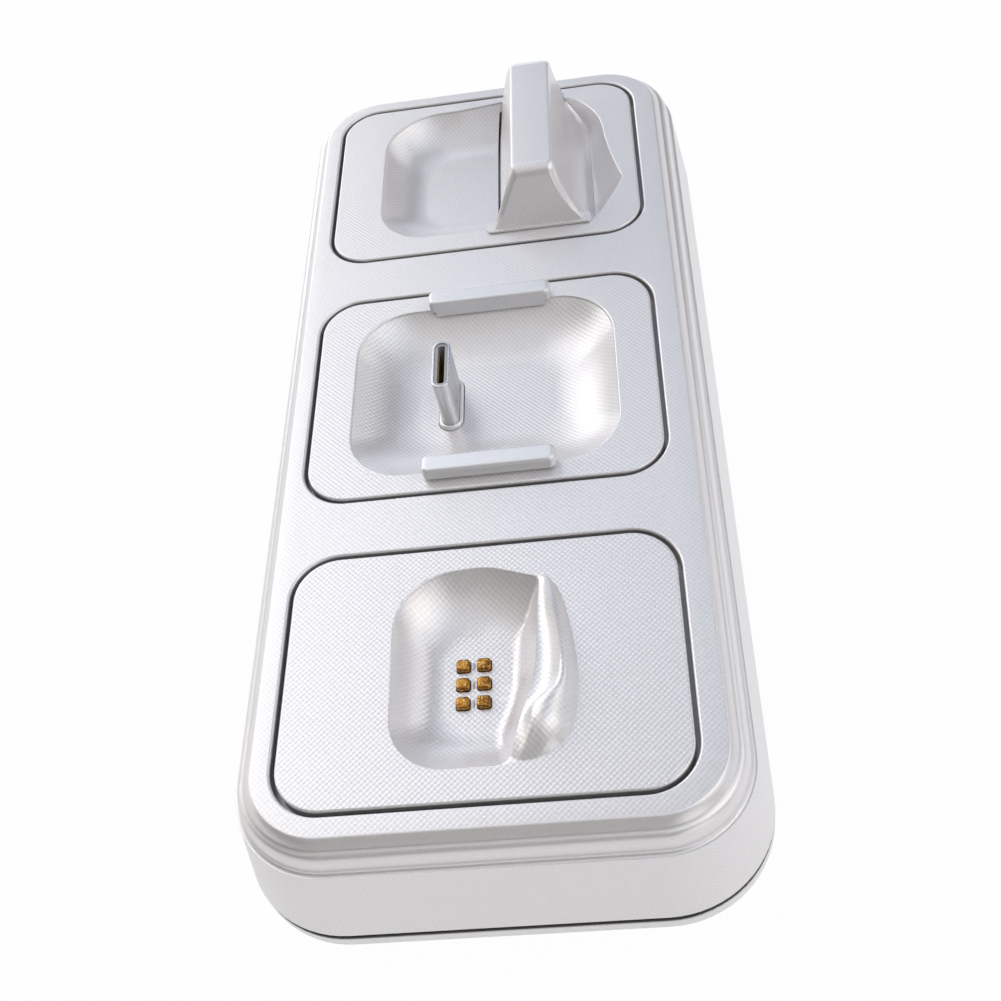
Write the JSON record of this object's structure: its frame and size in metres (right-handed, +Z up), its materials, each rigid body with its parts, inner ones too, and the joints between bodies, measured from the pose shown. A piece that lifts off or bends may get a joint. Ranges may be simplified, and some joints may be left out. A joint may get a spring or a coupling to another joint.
{
  "type": "desk charging dock",
  "caption": "Long desk charging dock with three shallow device bays: sprung contacts beside a fin, an upright plug between retaining bars, and a saddle beside a charging coil.",
  "frame": {"origin": "middle of the footprint, on the surface that the feet stand on", "axes": "+X across the dock, +Y along it to the rear, +Z up"},
  "size_m": [0.0618, 0.1372, 0.0289],
  "materials": {
    "housing_shell": "satin pearl moulding",
    "tray_shell": "satin pearl moulding",
    "plug_steel": "satin nickel",
    "black_plastic": "moulded black",
    "gold": "gold plated",
    "spring_steel": "drawn wire",
    "circuit_board": "solder resist",
    "copper_winding": "enamelled copper",
    "ferrite": "sintered dark grey",
    "chip_black": "moulded black",
    "chip_tan": "fired ceramic",
    "socket_white": "moulded ivory",
    "lead_film": "polyimide film",
    "screw_steel": "zinc plated",
    "foot_rubber": "matt"
  },
  "bodies": {
    "dock": {"upper_housing": "housing_shell", "base_plate": "housing_shell", "front_tray": "tray_shell", "middle_tray": "tray_shell", "rear_tray": "tray_shell", "rear_saddle": "tray_shell", "far_retainer": "tray_shell", "near_retainer": "tray_shell", "plug_boot": "tray_shell", "plug_shell": "plug_steel", "plug_core": "black_plastic", "plug_contacts": "gold", "plug_board": "circuit_board", "contact_carrier": "black_plastic", "contact_barrels": "gold", "contact_spring_1": "spring_steel", "contact_spring_2": "spring_steel", "contact_spring_3": "spring_steel", "contact_spring_4": "spring_steel", "contact_spring_5": "spring_steel", "contact_spring_6": "spring_steel", "contact_board": "circuit_board", "charge_coil": "copper_winding", "coil_shield": "ferrite", "main_board": "circuit_board", "inlet_shell": "plug_steel", "inlet_tongue": "black_plastic", "power_chips": "chip_black", "inductor": "ferrite", "capacitors": "chip_tan", "lead_sockets": "socket_white", "contact_lead": "lead_film", "plug_lead": "lead_film", "coil_lead": "lead_film", "base_screws": "screw_steel", "board_screws": "screw_steel", "tray_screws": "screw_steel", "rubber_feet": "foot_rubber"},
    "contact_1": {"contact_pin_1": "gold"},
    "contact_2": {"contact_pin_2": "gold"},
    "contact_3": {"contact_pin_3": "gold"},
    "contact_4": {"contact_pin_4": "gold"},
    "contact_5": {"contact_pin_5": "gold"},
    "contact_6": {"contact_pin_6": "gold"}
  },
  "joints": [
    {"name": "contact_1_press", "type": "slide", "parent": "dock", "child": "contact_1", "axis": [0, 0, -1], "range_m": [0, 0.0005], "stiffness_N_per_m": 600, "springref_m": -0.0005, "deforming": ["contact_spring_1"]},
    {"name": "contact_2_press", "type": "slide", "parent": "dock", "child": "contact_2", "axis": [0, 0, -1], "range_m": [0, 0.0005], "stiffness_N_per_m": 600, "springref_m": -0.0005, "deforming": ["contact_spring_2"]},
    {"name": "contact_3_press", "type": "slide", "parent": "dock", "child": "contact_3", "axis": [0, 0, -1], "range_m": [0, 0.0005], "stiffness_N_per_m": 600, "springref_m": -0.0005, "deforming": ["contact_spring_3"]},
    {"name": "contact_4_press", "type": "slide", "parent": "dock", "child": "contact_4", "axis": [0, 0, -1], "range_m": [0, 0.0005], "stiffness_N_per_m": 600, "springref_m": -0.0005, "deforming": ["contact_spring_4"]},
    {"name": "contact_5_press", "type": "slide", "parent": "dock", "child": "contact_5", "axis": [0, 0, -1], "range_m": [0, 0.0005], "stiffness_N_per_m": 600, "springref_m": -0.0005, "deforming": ["contact_spring_5"]},
    {"name": "contact_6_press", "type": "slide", "parent": "dock", "child": "contact_6", "axis": [0, 0, -1], "range_m": [0, 0.0005], "stiffness_N_per_m": 600, "springref_m": -0.0005, "deforming": ["contact_spring_6"]}
  ]
}
